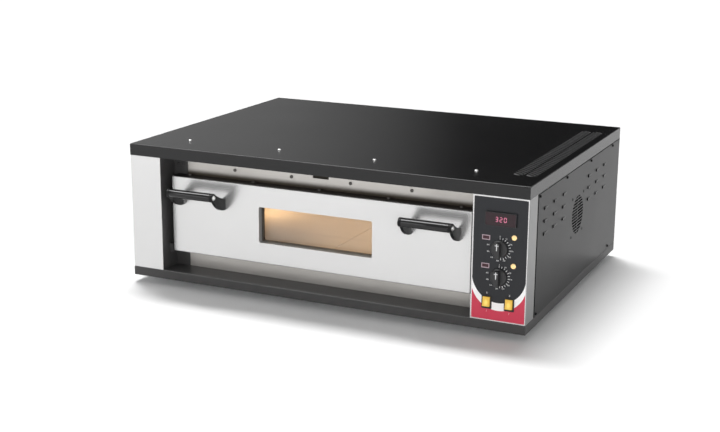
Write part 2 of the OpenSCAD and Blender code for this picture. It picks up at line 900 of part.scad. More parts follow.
// Thermostat: case behind the panel, neck through it, and its capillary with bulb
module thermostat_case(z) {
  difference() {
    union() {
      span([col_x - ctrl_body / 2, front + sheet, z - ctrl_body / 2],
        [col_x + ctrl_body / 2, front + sheet + ctrl_l, z + ctrl_body / 2]);
      rod_y([col_x, front - overlay_t - 3, z], 10, neck_d);
    }
    rod_y([col_x, front - overlay_t - 4, z], 34, shaft_d + 2 * shaft_play);
  }
}

module thermostat_top() {
  z = knob_top_z;
  color("#c6a15a") {
    thermostat_case(z);
    tube_path([[col_x, front + sheet + ctrl_l - eps, z], [col_x, probe_y, z],
      [cham_r - cap_in, probe_y, z]], cap_d, 20);
    rod_x([cham_r - bulb_gap - bulb_l, probe_y, z], bulb_l, bulb_d);
  }
}

module thermostat_bottom() {
  z = knob_low_z;
  low = rod_low_z + 3;
  color("#c6a15a") {
    thermostat_case(z);
    tube_path([[col_x, front + sheet + ctrl_l - eps, z], [col_x, probe_y, z], [col_x, probe_y, low],
      [cham_r - cap_in, probe_y, low]], cap_d, 20);
    rod_x([cham_r - bulb_gap - bulb_l, probe_y, low], bulb_l, bulb_d);
  }
}

// Turning shaft of a thermostat
module shaft(z) {
  color("#b0aca4") rod_y([col_x, front - overlay_t - 18, z], 18 + 28, shaft_d);
}

module shaft_top() {
  shaft(knob_top_z);
}

module shaft_bottom() {
  shaft(knob_low_z);
}

// Black knob: a skirt with a grip bar, hollow below, pressed on its shaft
module knob(z) {
  color("#191919") translate([col_x, front - overlay_t, z]) rotate([90, 0, 0]) difference() {
    union() {
      translate([0, 0, 1]) cylinder(d = knob_d, h = 4);
      translate([0, 0, 5]) cylinder(d1 = knob_d, d2 = knob_d - 4, h = 3);
      intersection() {
        cylinder(d = knob_d - 5, h = knob_h);
        translate([-6, -knob_d / 2, 5]) cube([12, knob_d, knob_h]);
      }
    }
    cylinder(d = neck_d + 4, h = 5);
    cylinder(d = shaft_d, h = 18);
  }
}

module knob_top() {
  knob(knob_top_z);
}

module knob_bottom() {
  knob(knob_low_z);
}

// Two amber pilot lamps
module pilot_lamps() {
  color("#f0c060")
    for (z = [knob_top_z, knob_low_z])
      translate([col_x + pilot_dx, front - overlay_t, z + pilot_dz]) rotate([90, 0, 0]) {
        cylinder(d = pilot_d, h = 2);
        translate([0, 0, 2]) cylinder(d1 = pilot_d, d2 = pilot_d - 5, h = 2);
        translate([0, 0, -28]) cylinder(d = pilot_neck, h = 28);
      }
}

// Black switch bodies with a bezel on the panel
module switch_frames() {
  y0 = front - overlay_t;
  color("#1a1a1a")
    for (s = [-1, 1])
      difference() {
        union() {
          face_plate(col_x + s * switch_dx, y0 - 2, switch_z, bezel_w, bezel_h, 2, 2);
          face_plate(col_x + s * switch_dx, y0, switch_z, case_w, case_h, 1, case_l);
        }
        face_plate(col_x + s * switch_dx, y0 - 3, switch_z, rocker_w + 2 * rocker_play,
          case_h - 2, 0.5, case_l - 3);
        rod_x([col_x + s * switch_dx - rocker_w / 2 - 2, rocker_axis, switch_z], rocker_w + 4,
          pivot_d + 2 * pivot_play);
      }
}

// Lit rocker, tilted to its lower stop, with its pivot stubs
module rocker(s) {
  color("#f7c62f") translate([col_x + s * switch_dx, rocker_axis, switch_z])
    rotate([-rocker_tilt, 0, 0]) {
    translate([-rocker_w / 2, 0, 0]) rotate([90, 0, 90]) linear_extrude(rocker_w)
      polygon([[3, -7], [-4, -rocker_h / 2], [-rocker_deep - 6, -rocker_h / 2], [-rocker_deep - 4, 0],
        [-rocker_deep - 6, rocker_h / 2], [-4, rocker_h / 2], [3, 7]]);
    rod_x([-rocker_w / 2 - 1.6, 0, 0], rocker_w + 3.2, pivot_d);
  }
}

module rocker_left() {
  rocker(-1);
}

module rocker_right() {
  rocker(1);
}

// ELECTRICAL BAY

// Square frame of the cooling fan with its hub spider
module fan_frame() {
  color("#262627") translate([fan_x, 0, fan_z]) difference() {
    union() {
      difference() {
        translate([0, -fan_w / 2, -fan_w / 2]) cube([fan_t, fan_w, fan_w]);
        rod_x([-eps, 0, 0], fan_t + 2 * eps, fan_bore);
      }
      rod_x([0, 0, 0], 6, hub_d);
      for (a = [0, 90])
        rotate([a, 0, 0]) translate([0, -fan_w / 2 + 1, -3]) cube([4, fan_w - 2, 6]);
    }
    rod_x([-eps, 0, 0], 10, axle_d + 2 * axle_play);
    for (sy = [-1, 1], sz = [-1, 1])
      rod_x([-eps, sy * fan_pitch / 2, sz * fan_pitch / 2], fan_t + 2 * eps, thread_d);
  }
}

// Fan wheel with its axle
module fan_rotor() {
  color("#2f2f31") translate([fan_x, 0, fan_z]) {
    rod_x([0.5, 0, 0], 12, axle_d);
    rod_x([8, 0, 0], hub_l, hub_d);
    for (i = [0 : 6])
      rotate([i * 360 / 7, 0, 0]) translate([20, 0, hub_d / 2 - 1]) rotate([0, 0, 38])
        translate([-blade_l / 2, -1, 0]) cube([blade_l, 2, fan_bore / 2 - hub_d / 2 - 2]);
  }
}

// Contactor and terminal block on the bulkhead
module contactor() {
  color("#dcdcd6")
    span([wall_r + sheet, back - 250, base_z + 105], [wall_r + sheet + 72, back - 205, base_z + 180]);
}

module terminal_block() {
  color("#d8d4c6") difference() {
    span([wall_r + sheet, back - 180, base_z + 60], [wall_r + sheet + 42, back - 90, base_z + 100]);
    for (i = [0 : 4])
      rod_x([wall_r + sheet + 30, back - 171 + i * 18, base_z + 80], 20, 9);
  }
}

// Cable gland through the back, without its cord
module cable_gland() {
  color("#202021") translate([gland_x, back, gland_z]) rotate([-90, 0, 0]) difference() {
    union() {
      cylinder(d = 40, h = 9, $fn = 6);
      cylinder(d = 32, h = gland_out - 4);
      translate([0, 0, gland_out - 4]) cylinder(d1 = 32, d2 = 26, h = 4);
      translate([0, 0, -20]) cylinder(d = gland_d, h = 20);
      translate([0, 0, -sheet - 8]) cylinder(d = 38, h = 8, $fn = 6);
    }
    translate([0, 0, -21]) cylinder(d = 16, h = gland_out + 22);
  }
}

// DOOR

// Outer stainless pan of the door
module door_shell() {
  ds = door_sheet;
  color("#d9d9d7") difference() {
    translate([mid_x, door_by, win_z]) rotate([90, 0, 0]) soft_block(door_w, door_h, door_t, door_r);
    span([door_x0 + ds, door_y + ds, door_z + ds], [door_x1 - ds, door_by + eps, door_top - 2 * ds]);
    span([door_x0 - eps, door_y + door_r, door_top - ds], [door_x1 + eps, door_by + eps, door_top + eps]);
    span([door_x0 - eps, door_by - ds, door_top - 2 * ds], [door_x1 + eps, door_by + eps, door_top]);
    face_plate(mid_x, door_y - eps, win_z, win_w, win_h, win_r, 5);
    at_door_screws() translate([0, 0, -10]) cylinder(d = thread_d, h = 20);
    pin_bores(pin_d);
  }
}

// Hinge bores through the door's ends
module pin_bores(d) {
  rod_x([door_x0 - eps, axis_y, axis_z], 40, d);
  rod_x([door_x1 + eps - 40, axis_y, axis_z], 40, d);
}

// Dark inner pan, whose upper edge wraps over the shell
module door_inner() {
  ds = door_sheet;
  lap = 12;
  color("#333234") difference() {
    union() {
      span([door_x0 + ds, door_by - lap, door_z + ds], [door_x1 - ds, door_by, door_top - 2 * ds]);
      span([door_x0, door_by - ds, door_top - 2 * ds], [door_x1, door_by, door_top]);
      span([door_x0, door_y + door_r, door_top - ds], [door_x1, door_by, door_top]);
    }
    span([door_x0 + 2 * ds, door_by - lap - eps, door_z + 2 * ds],
      [door_x1 - 2 * ds, door_by - ds, door_top - 2 * ds]);
    face_plate(mid_x, door_by - 5, win_z, win_w, win_h, win_r, 6);
    at_door_screws() translate([0, 0, -10]) cylinder(d = thread_d, h = 20);
  }
}

// Insulation in the door
module door_wool() {
  ds = door_sheet;
  color("#d9cf9f") difference() {
    span([door_x0 + 2 * ds, door_y + ds, door_z + 2 * ds],
      [door_x1 - 2 * ds, door_by - ds, door_top - 2 * ds]);
    face_plate(mid_x, door_y, win_z, win_w + 2 * frame_rim, win_h + 2 * frame_rim, win_r, door_t);
    hinge_block_shape();
    at_door_screws() translate([0, 0, -10]) cylinder(d = thread_d, h = 20);
  }
}

// Dark frame that lines the window, with a pocket for the panes
module window_frame() {
  ds = door_sheet;
  color("#5b5b5c") difference() {
    face_plate(mid_x, door_y + ds, win_z, win_w + 2 * frame_rim, win_h + 2 * frame_rim, win_r,
      door_t - 2 * ds);
    face_plate(mid_x, door_y, win_z, win_w, win_h, win_r, door_t);
    face_plate(mid_x, door_y + glass_set, win_z, win_w + 2 * pane_lap, win_h + 2 * pane_lap, win_r,
      door_t);
  }
}

// Window pane that fills the pocket at depth y
module pane(y) {
  face_plate(mid_x, y, win_z, win_w + 2 * (pane_lap - pane_play), win_h + 2 * (pane_lap - pane_play),
    win_r, glass_t);
}

module glass_outer() {
  color("#dfe8e6", 0.4) pane(door_y + glass_set);
}

module glass_inner() {
  color("#dfe8e6", 0.4) pane(door_by - door_sheet - glass_t);
}

// Spacer ring between the panes
module glass_spacer() {
  y0 = door_y + glass_set + glass_t;
  t = door_by - door_sheet - glass_t - y0;
  color("#8f9193") difference() {
    face_plate(mid_x, y0, win_z, win_w + 2 * (pane_lap - pane_play),
      win_h + 2 * (pane_lap - pane_play), win_r, t);
    face_plate(mid_x, y0 - eps, win_z, win_w, win_h, win_r, t + 2 * eps);
  }
}

// Steel blocks in the door's lower corners, which hold the hinge pins
module hinge_block_shape() {
  ds = door_sheet;
  for (x = [door_x0 + ds, door_x1 - ds - block_w])
    translate([x, door_y + ds, door_z + ds]) cube([block_w, block, block]);
}

module hinge_blocks() {
  color("#8a8c8e") difference() {
    hinge_block_shape();
    pin_bores(pin_d);
  }
}

// Hinge pins, pressed into the blocks
module hinge_pins() {
  color("#c4c4c2") {
    rod_x([door_x0 - pin_out, axis_y, axis_z], pin_out + pin_in, pin_d);
    rod_x([door_x1 - pin_in, axis_y, axis_z], pin_out + pin_in, pin_d);
  }
}

// Bearing blocks on the recess walls
module hinge_bushes() {
  color("#47474a")
    for (x = [wall_l, wall_r - bush_t])
      difference() {
        translate([x, axis_y - bush_w / 2, axis_z - bush_w / 2]) cube([bush_t, bush_w, bush_w]);
        rod_x([x - eps, axis_y, axis_z], bush_t + 2 * eps, pin_d + 2 * pin_play);
      }
}

// Two round bars
module handle_bars() {
  color("#161617")
    for (s = [-1, 1])
      difference() {
        rod_x([mid_x + s * handle_at - bar_l / 2, door_y - bar_p, bar_z], bar_l, bar_d);
        at_bar_ends() bar_screw_hole();
      }
}

// Four swan-neck brackets between door and bars
module handle_brackets() {
  color("#1d1d1e") difference() {
    for (s = [-1, 1], e = [0, 1])
      translate([mid_x + s * handle_at - bar_l / 2 - bracket_t + e * (bar_l + bracket_t), door_y, bar_z])
        rotate([90, 0, 90]) linear_extrude(bracket_t) bracket_profile();
    at_bar_ends() bar_screw_hole();
  }
}

// Hole through a bracket and into the end of its bar
module bar_screw_hole() {
  translate([0, 0, -bracket_t - 14]) cylinder(d = thread_d, h = bracket_t + 14 + eps);
}

// Bracket outline: it falls from an eye at the bar to the door, round below and hollow above
module bracket_profile() {
  belly = handle_reach - 4;
  difference() {
    intersection() {
      translate([0, belly - bracket_low]) circle(belly);
      translate([-handle_reach, -belly]) square([handle_reach, belly + bar_d / 3]);
    }
    translate([hollow_dx, hollow_r - bracket_low + bracket_h]) circle(hollow_r);
  }
  translate([-bar_p, 0]) circle(bar_d / 2);
}

// Screws in the door's upper edge and in the bars' ends
module door_screws() {
  color("#b9b9b6") {
    at_door_screws() screw(2 * door_sheet + 4);
    at_bar_ends() cylinder(d = washer_d, h = washer_t);
    at_bar_ends() translate([0, 0, washer_t]) screw(washer_t + bracket_t + 10);
  }
}

feet();
bottom_cover();
base_tray();
frame_angles();
front_frame();
jamb_plate();
left_post();
bay_wall();
column_shell();
left_side();
right_side();
back_panel();
top_cover();
casing_screws();
chamber_liner();
floor_stones();
stone_rack();
element_top();
element_bottom();
element_supports();
wool_top();
wool_bottom();
wool_left();
wool_right();
wool_back();
lamp_holder();
lamp_bulb();
lamp_glass();
thermocouple();
thermostat_top();
thermostat_bottom();
shaft_top();
shaft_bottom();
knob_top();
knob_bottom();
overlay();
display_lens();
controller();
pilot_lamps();
switch_frames();
rocker_left();
rocker_right();
fan_frame();
fan_rotor();
contactor();
terminal_block();
cable_gland();
door_shell();
door_inner();
door_wool();
window_frame();
glass_outer();
glass_spacer();
glass_inner();
hinge_blocks();
hinge_pins();
hinge_bushes();
handle_bars();
handle_brackets();
door_screws();
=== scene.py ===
import math

import bmesh
import bpy
from mathutils import Matrix, Vector


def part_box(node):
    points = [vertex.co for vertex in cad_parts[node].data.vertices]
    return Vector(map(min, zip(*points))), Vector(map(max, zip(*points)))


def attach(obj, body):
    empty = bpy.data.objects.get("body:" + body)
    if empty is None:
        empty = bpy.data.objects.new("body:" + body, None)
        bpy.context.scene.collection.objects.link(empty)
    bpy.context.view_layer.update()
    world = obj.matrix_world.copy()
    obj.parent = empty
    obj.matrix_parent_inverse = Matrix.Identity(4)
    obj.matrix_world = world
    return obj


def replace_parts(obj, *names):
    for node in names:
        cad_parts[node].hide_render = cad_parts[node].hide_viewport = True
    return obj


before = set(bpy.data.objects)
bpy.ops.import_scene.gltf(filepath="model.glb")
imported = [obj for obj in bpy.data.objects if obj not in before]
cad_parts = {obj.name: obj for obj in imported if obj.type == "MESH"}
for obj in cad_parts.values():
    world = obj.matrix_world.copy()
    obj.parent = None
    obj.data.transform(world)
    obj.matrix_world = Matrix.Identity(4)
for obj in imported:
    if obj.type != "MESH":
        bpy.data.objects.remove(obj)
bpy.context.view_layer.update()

# Camera
# It stands to the right of the oven's front and a little above it, where the
# photograph was taken, with a lens of about 65 mm on a full frame.
MM = 0.001
eye = Vector((1491.356, -3340.879, 1119.025)) * MM
turn, tilt, lean = (math.radians(degrees) for degrees in (25.109, 14.746, -0.378))
behind = Vector((math.sin(turn) * math.cos(tilt), -math.cos(turn) * math.cos(tilt), math.sin(tilt)))
level = Vector((math.cos(turn), math.sin(turn), 0))
down = (-behind).cross(level)
right = math.cos(lean) * level + math.sin(lean) * down
up = math.sin(lean) * level - math.cos(lean) * down
camera = bpy.data.objects.new("camera", bpy.data.cameras.new("camera"))
camera.data.lens = 65.235
camera.data.sensor_width = 36
camera.data.sensor_fit = "HORIZONTAL"
camera.data.clip_start, camera.data.clip_end = 0.05, 200
camera.matrix_world = Matrix((right, up, behind)).transposed().to_4x4()
camera.matrix_world.translation = eye
scene = bpy.context.scene
scene.collection.objects.link(camera)
scene.camera = camera
scene.view_settings.view_transform = "Standard"


# Studio
# White paper carries the oven. A row of key lights stands behind and to the left, so the shadow
# has a firm front edge and fades to the right. Two softboxes fill the front, in even white room
# light, and a long box overhead draws a bright line along every round edge.
class Wire:
    """A shader socket that takes part in plain expressions."""

    def __init__(self, tree, socket=None):
        self.tree, self.socket = tree, socket

    def node(self, kind, settings=(), sockets=(), out=0):
        made = self.tree.nodes.new("ShaderNode" + kind)
        for name, value in dict(settings).items():
            if name == "stops":
                stops = made.color_ramp.elements
                stops.remove(stops[1])
                stops[0].position, stops[0].color = value[0][0], (*value[0][1], 1)
                for spot, colour in value[1:]:
                    stops.new(spot).color = (*colour, 1)
            else:
                setattr(made, name, value)
        for name, value in dict(sockets).items():
            if isinstance(value, Wire):
                self.tree.links.new(value.socket, made.inputs[name])
            else:
                made.inputs[name].default_value = value
        return Wire(self.tree, made.outputs[out])

    def to(self, shader, name):
        self.tree.links.new(self.socket, shader.inputs[name])

    def maths(self, operation, left, right):
        return self.node("Math", {"operation": operation}, {0: left, 1: right})

    def __add__(self, other):
        return self.maths("ADD", self, other)

    __radd__ = __add__

    def __sub__(self, other):
        return self.maths("SUBTRACT", self, other)

    def __rsub__(self, other):
        return self.maths("SUBTRACT", other, self)

    def __mul__(self, other):
        return self.maths("MULTIPLY", self, other)

    __rmul__ = __mul__

    def __truediv__(self, other):
        return self.maths("DIVIDE", self, other)

    def __rtruediv__(self, other):
        return self.maths("DIVIDE", other, self)

    def __pow__(self, other):
        return self.maths("POWER", self, other)

    def __mod__(self, other):
        return self.maths("FLOORED_MODULO", self, other)

    def __lt__(self, other):
        return self.maths("LESS_THAN", self, other)

    def __gt__(self, other):
        return self.maths("GREATER_THAN", self, other)

    def __abs__(self):
        return self.maths("ABSOLUTE", self, 0)


def finish(name, constants):
    """A new material with the numbers that hold all over it, and its sockets to feed."""
    made = bpy.data.materials.new(name)
    made.use_nodes = True
    shader = made.node_tree.nodes["Principled BSDF"]
    for socket, value in constants.items():
        shader.inputs[socket].default_value = value
    return made, shader, Wire(made.node_tree)


def in_mm(wire, axes):
    """The object's own coordinates along some axes, in mm."""
    place = wire.node("TexCoord", out="Object")
    return [wire.node("SeparateXYZ", sockets={0: place}, out=axis) / MM for axis in axes]


def turned_to(direction):
    """The turn that points an object's own +Z in a direction."""
    return Vector(direction).to_track_quat("Z", "Y").to_matrix().to_4x4()


def area_lamp(name, size, energy, place):
    lamp = bpy.data.objects.new(name, bpy.data.lights.new(name, "AREA"))
    lamp.data.shape = "RECTANGLE"
    lamp.data.size, lamp.data.size_y = size
    lamp.data.energy = energy
    lamp.matrix_world = place
    scene.collection.objects.link(lamp)
    return lamp


room_light = 0.31
world = bpy.data.worlds.new("room")
scene.world = world
world.use_nodes = True
room = Wire(world.node_tree)
rays = ("Is Camera Ray", "Is Glossy Ray", "Is Transmission Ray")
direct, mirrored, through_glass = (room.node("LightPath", out=ray) for ray in rays)
seen = direct + mirrored + through_glass > 0.5
room_shader = world.node_tree.nodes["Background"]
room_shader.inputs["Color"].default_value = (1, 1, 1, 1)
(room_light + (1 - room_light) * seen).to(room_shader, "Strength")

for step_left in (0.04, 0.15, 0.26, 0.37, 0.48):
    key = bpy.data.objects.new("key", bpy.data.lights.new("key", "SUN"))
    key.data.energy = 0.56
    key.data.angle = math.radians(13)
    key.matrix_world = turned_to((-step_left, 0.316, 1))
    scene.collection.objects.link(key)

for name, stand, energy in (("softbox_left", (-2.1, -3.7, 0.95), 17),
                            ("softbox_right", (2.6, -4.6, 0.9), 76)):
    area_lamp(name, (2.2, 1.4), energy, Matrix.Translation(stand) @ turned_to(stand))
hung, leaning = Matrix.Translation((-1.3, -1.03, 2.6)), Matrix.Rotation(math.radians(-24), 4, "X")
top_box = area_lamp("top_box", (3.0, 1.2), 135, hung @ leaning)
top_box.visible_diffuse = False

bpy.ops.object.select_all(action="DESELECT")
bpy.ops.mesh.primitive_plane_add(size=60)
floor = bpy.context.active_object
floor.name = "floor"
paper, shader, wire = finish("white_paper", {
    "Base Color": (0.92, 0.92, 0.92, 1), "Roughness": 0.9, "Specular IOR Level": 0.1})
floor.data.materials.append(paper)

# A cloth with light and dark fields hangs over the set, and only reflections see it.
bpy.ops.object.select_all(action="DESELECT")
bpy.ops.mesh.primitive_plane_add(size=240, location=(0, 0, 3))
cloth = bpy.context.active_object
cloth.name = "ceiling_cloth"
dyed, shader, wire = finish("ceiling_cloth", {
    "Base Color": (0, 0, 0, 1), "Roughness": 1, "Specular IOR Level": 0, "Emission Strength": 1})
x, y = in_mm(wire, "XY")
bearing = wire.maths("ARCTAN2", 0 - x, y) / math.radians(1)
fade = wire.node("MapRange", sockets={0: bearing, 1: -40, 2: 42})
cloth_tones = ((0.0, 0.80), (0.24, 0.80), (0.36, 0.02), (0.61, 0.006),
               (0.727, 0.015), (0.773, 0.155), (0.851, 0.325), (1.0, 0.48))
stops = [(spot, (tone,) * 3) for spot, tone in cloth_tones]
wire.node("ValToRGB", {"stops": stops}, {0: fade}).to(shader, "Emission Color")
cloth.data.materials.append(dyed)
cloth.visible_camera = cloth.visible_diffuse = False
cloth.visible_shadow = cloth.visible_transmission = False


# Feet
# Four moulded rubber pads under the corners of the casing, each with a stud
# up its middle. The rubber is dull and slightly dusty.
def dress(material, *nodes):
    """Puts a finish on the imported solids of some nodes."""
    for name in nodes:
        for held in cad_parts[name].material_slots:
            held.material = material


def grained(wire, scale, stretch=(1, 1, 1), detail=4, rough=0.55):
    """Noise on the object's own coordinates, drawn out along an axis where the grain runs."""
    place = wire.node("TexCoord", out="Object")
    mapped = wire.node("Mapping", sockets={"Vector": place, "Scale": stretch})
    return wire.node("TexNoise", sockets={
        "Vector": mapped, "Scale": scale, "Detail": detail, "Roughness": rough})


def between(wire, mask, first, second):
    """The first tone, which may be a mixed one, where the mask is 0, and the second where it is 1."""
    under = first if isinstance(first, Wire) else (*first, 1)
    return wire.node("Mix", {"data_type": "RGBA"}, {0: mask, 6: under, 7: (*second, 1)}, out=2)


def relief(wire, height, strength, depth):
    return wire.node("Bump", sockets={
        "Strength": strength, "Distance": depth, "Height": height}, out="Normal")


def mottled(name, constants, grain, tones, rough=None, glow=None, bumps=None, bump_grain=None):
    """A finish that drifts with one noise: its tone, its roughness, given as the least and the
    spread, and its glow. Bumps, a strength and a depth, may have a grain of their own."""
    made, shader, wire = finish(name, constants)
    drift = grained(wire, **grain)
    between(wire, drift, *tones).to(shader, "Base Color")
    if rough:
        least, spread = rough
        (least + spread * drift).to(shader, "Roughness")
    if glow:
        between(wire, drift, *glow).to(shader, "Emission Color")
    if bumps:
        height = grained(wire, **bump_grain) if bump_grain else drift
        relief(wire, height, *bumps).to(shader, "Normal")
    return made


rubber = mottled("foot_rubber", {"Specular IOR Level": 0.3}, {"scale": 60},
                 [(0.012, 0.012, 0.012), (0.03, 0.029, 0.028)], rough=(0.62, 0.25),
                 bumps=(0.15, 0.0004), bump_grain={"scale": 900})
dress(rubber, "feet")


# Underside and frame
# The plate below is bent from galvanised sheet, with the pale spangle that hot zinc leaves. The
# four corner angles are rolled steel, coloured near black, a painted shade, so the seams in front
# of them read as shadow. They show only from below and through the vents.
def cells(wire, scale):
    """Distance from the middle of the nearest of many cells."""
    place = wire.node("TexCoord", out="Object")
    return wire.node("TexVoronoi", sockets={"Vector": place, "Scale": scale})


zinc, shader, wire = finish("galvanised", {"Metallic": 1.0})
spangle = cells(wire, 70)
between(wire, spangle, (0.42, 0.43, 0.44), (0.62, 0.63, 0.64)).to(shader, "Base Color")
(0.32 + 0.22 * spangle).to(shader, "Roughness")
relief(wire, grained(wire, 500), 0.05, 0.0003).to(shader, "Normal")
dress(zinc, "bottom_cover")

# Painted shade: near black, for the shadow in the seams the angles show through.
angle_steel_shaded = mottled("frame_steel", {"Specular IOR Level": 0.3}, {"scale": 45},
                      [(0.030, 0.029, 0.028), (0.055, 0.053, 0.051)], rough=(0.45, 0.2),
                      bumps=(0.1, 0.0003), bump_grain={"scale": 700})
dress(angle_steel_shaded, "frame_angles")


# Outer casing
# Sides, back and top cover are folded from steel sheet and baked with a near black semi gloss
# coat. A fine orange peel breaks up its reflections. The base tray has a greyer, more matt coat.
def painted(name, thin, thick, gloss, specular, painted_light=None, painted_tone=None):
    """A baked coat. Where a mask of painted light, made from x, y and z in mm, says so, it takes a
    painted tone and is rough.
    """
    made, shader, wire = finish(name, {"Specular IOR Level": specular})
    cloudy = grained(wire, 3.5, detail=3)
    peel = grained(wire, 420, detail=2)
    tone = between(wire, cloudy, thin, thick)
    rough = gloss + 0.07 * cloudy + 0.03 * peel
    if painted_light:
        mask = painted_light(*in_mm(wire, "XYZ"))
        tone = between(wire, mask, tone, painted_tone)
        rough = rough + 0.45 * mask
    tone.to(shader, "Base Color")
    rough.to(shader, "Roughness")
    relief(wire, peel, 0.06, 0.0003).to(shader, "Normal")
    return made


def vent_band_sheen(x, y, z):
    """Painted sheen: the two slotted bands of the cover, with round ends, lighter for the light their
    lips catch.
    """
    pair_x, pair_y, spacing, straight, end_r, cover_low = 522.5, -3, 33, 604, 14, 394
    past_end = abs(y - pair_y) - straight / 2
    along = past_end.maths("MAXIMUM", past_end, 0)
    across = abs(abs(x - pair_x) - spacing / 2)
    return (along * along + across * across < end_r ** 2) * (z > cover_low)


def painted_seam_shade(x, y, z):
    """Painted shade: near black along a side's top edge, for the shadow in the seam under the lip."""
    edge_low = 360.8
    return z > edge_low


# The cover's coat is lighter over its slotted bands, a painted sheen for the light their lips
# reflect.
coat = painted("dark_paint", (0.0040, 0.0040, 0.0044), (0.0058, 0.0058, 0.0062), 0.19, 0.40,
               vent_band_sheen, (0.046, 0.046, 0.047))
dress(coat, "top_cover")
# The sides carry a painted shade along their top edge, for the seam under the cover's lip.
side_coat = painted("side_paint", (0.0065, 0.0065, 0.007), (0.009, 0.009, 0.0095), 0.25, 0.13,
                    painted_seam_shade, (0.0015, 0.0015, 0.0015))
dress(side_coat, "left_side", "right_side", "back_panel")
matt = painted("base_paint", (0.046, 0.045, 0.045), (0.056, 0.055, 0.055), 0.40, 0.32)
dress(matt, "base_tray")

# Recess lining
# The plate left of the door is folded sheet, held by two screws. At the right, the wall between
# chamber and wiring bay closes the recess. Both have the casing's coat, dulled by heat.
lining = mottled("recess_dark", {"Specular IOR Level": 0.4}, {"scale": 12, "detail": 3},
                 [(0.040, 0.039, 0.039), (0.050, 0.049, 0.049)], rough=(0.34, 0.12),
                 bumps=(0.06, 0.0003), bump_grain={"scale": 420, "detail": 2})
dress(lining, "jamb_plate", "bay_wall")


# Bright front
# Left post, control column and door skin are satin stainless sheet, brushed along its length
# before folding; the column's side return is painted a darker grey, a painted reflection of the
# darker room at its right. The oven mouth behind the door is the same steel, straw coloured by
# heat, with painted shade browning it just over the door, for the shadow in the gap there.
def fading(wire, value, start, end):
    """1 up to the start, then smoothly down to 0 at the end."""
    smooth = {"interpolation_type": "SMOOTHSTEP"}
    return 1 - wire.node("MapRange", smooth, {0: value, 1: start, 2: end})


def brushed(name, light, dark, gloss, metal, shaded_over_door=False):
    """Steel brushed along x, its side return painted grey. With the flag, painted shade browns the
    gap over the door.
    """
    return_x, painted_return_grey = 573.5, (0.28, 0.28, 0.28)
    shade_low, shade_start, shade_end, painted_shade_brown = 200, 312, 328, (0.07, 0.058, 0.046)
    made, shader, wire = finish(name, {"Metallic": metal})
    brush = grained(wire, 1, (4, 900, 900), detail=2)
    smear = grained(wire, 5, detail=3)
    x, z = in_mm(wire, "XZ")
    tone = between(wire, 0.6 * brush + 0.4 * smear, dark, light)
    if shaded_over_door:
        # Painted shade: brown just over the door's top, for the shadow of the gap there.
        over_door_shade = fading(wire, z, shade_start, shade_end) * (z > shade_low)
        tone = between(wire, over_door_shade, tone, painted_shade_brown)
    # Painted reflection: the side return is greyer, for the darker room it mirrors.
    shaded_return = x > return_x
    between(wire, shaded_return, tone, painted_return_grey).to(shader, "Base Color")
    (gloss + 0.05 * brush + 0.05 * smear + 0.16 * shaded_return).to(shader, "Roughness")
    relief(wire, brush, 0.015, 0.0002).to(shader, "Normal")
    return made


satin = brushed("stainless", (0.690, 0.687, 0.686), (0.635, 0.632, 0.631), 0.20, 0.74)
dress(satin, "left_post", "column_shell", "door_shell")
# The mouth takes the painted shade over the door.
mouth = brushed("stainless_heated", (0.56, 0.54, 0.515), (0.46, 0.44, 0.415), 0.34, 0.85, True)
dress(mouth, "front_frame")

# Oven chamber
# The liner is aluminised sheet, folded and tanned by baking, in a bed of mineral wool. Two
# refractory stones lie on a steel rack over the lower hairpin elements; the upper ones hang in
# hooks from the roof.
liner = mottled("liner_steel", {"Metallic": 0.85}, {"scale": 6, "detail": 5},
                [(0.30, 0.235, 0.17), (0.52, 0.45, 0.36)], rough=(0.38, 0.25),
                bumps=(0.05, 0.0003), bump_grain={"scale": 300})
dress(liner, "chamber_liner", "element_supports")

stone, shader, wire = finish("stone", {"Specular IOR Level": 0.2, "Roughness": 0.9})
grit = grained(wire, 650, detail=3, rough=0.7)
scorch = grained(wire, 7, (0.5, 5, 1), detail=5)
fleck = 0.35 * (cells(wire, 260) < 0.18)
warm = between(wire, scorch, (0.56, 0.42, 0.27), (0.74, 0.58, 0.39))
between(wire, fleck, warm, (0.30, 0.21, 0.13)).to(shader, "Base Color")
relief(wire, grit, 0.3, 0.0006).to(shader, "Normal")
dress(stone, "floor_stones")

rack = mottled("rack_steel", {"Metallic": 0.9}, {"scale": 80},
               [(0.10, 0.085, 0.075), (0.24, 0.21, 0.19)], rough=(0.5, 0.2))
dress(rack, "stone_rack")
rod = mottled("element", {"Metallic": 0.7}, {"scale": 120},
              [(0.07, 0.065, 0.06), (0.17, 0.15, 0.13)], rough=(0.42, 0.25))
dress(rod, "element_top", "element_bottom")
# The wool is coloured far darker than it is, a painted shade, so the header's slot reads as black.
wool = mottled("wool", {"Roughness": 1.0, "Specular IOR Level": 0.05},
               {"scale": 240, "stretch": (1, 1, 5), "detail": 6},
               [(0.020, 0.018, 0.015), (0.045, 0.041, 0.034)], bumps=(0.5, 0.002))
dress(wool, "wool_top", "wool_bottom", "wool_left", "wool_right", "wool_back", "door_wool")

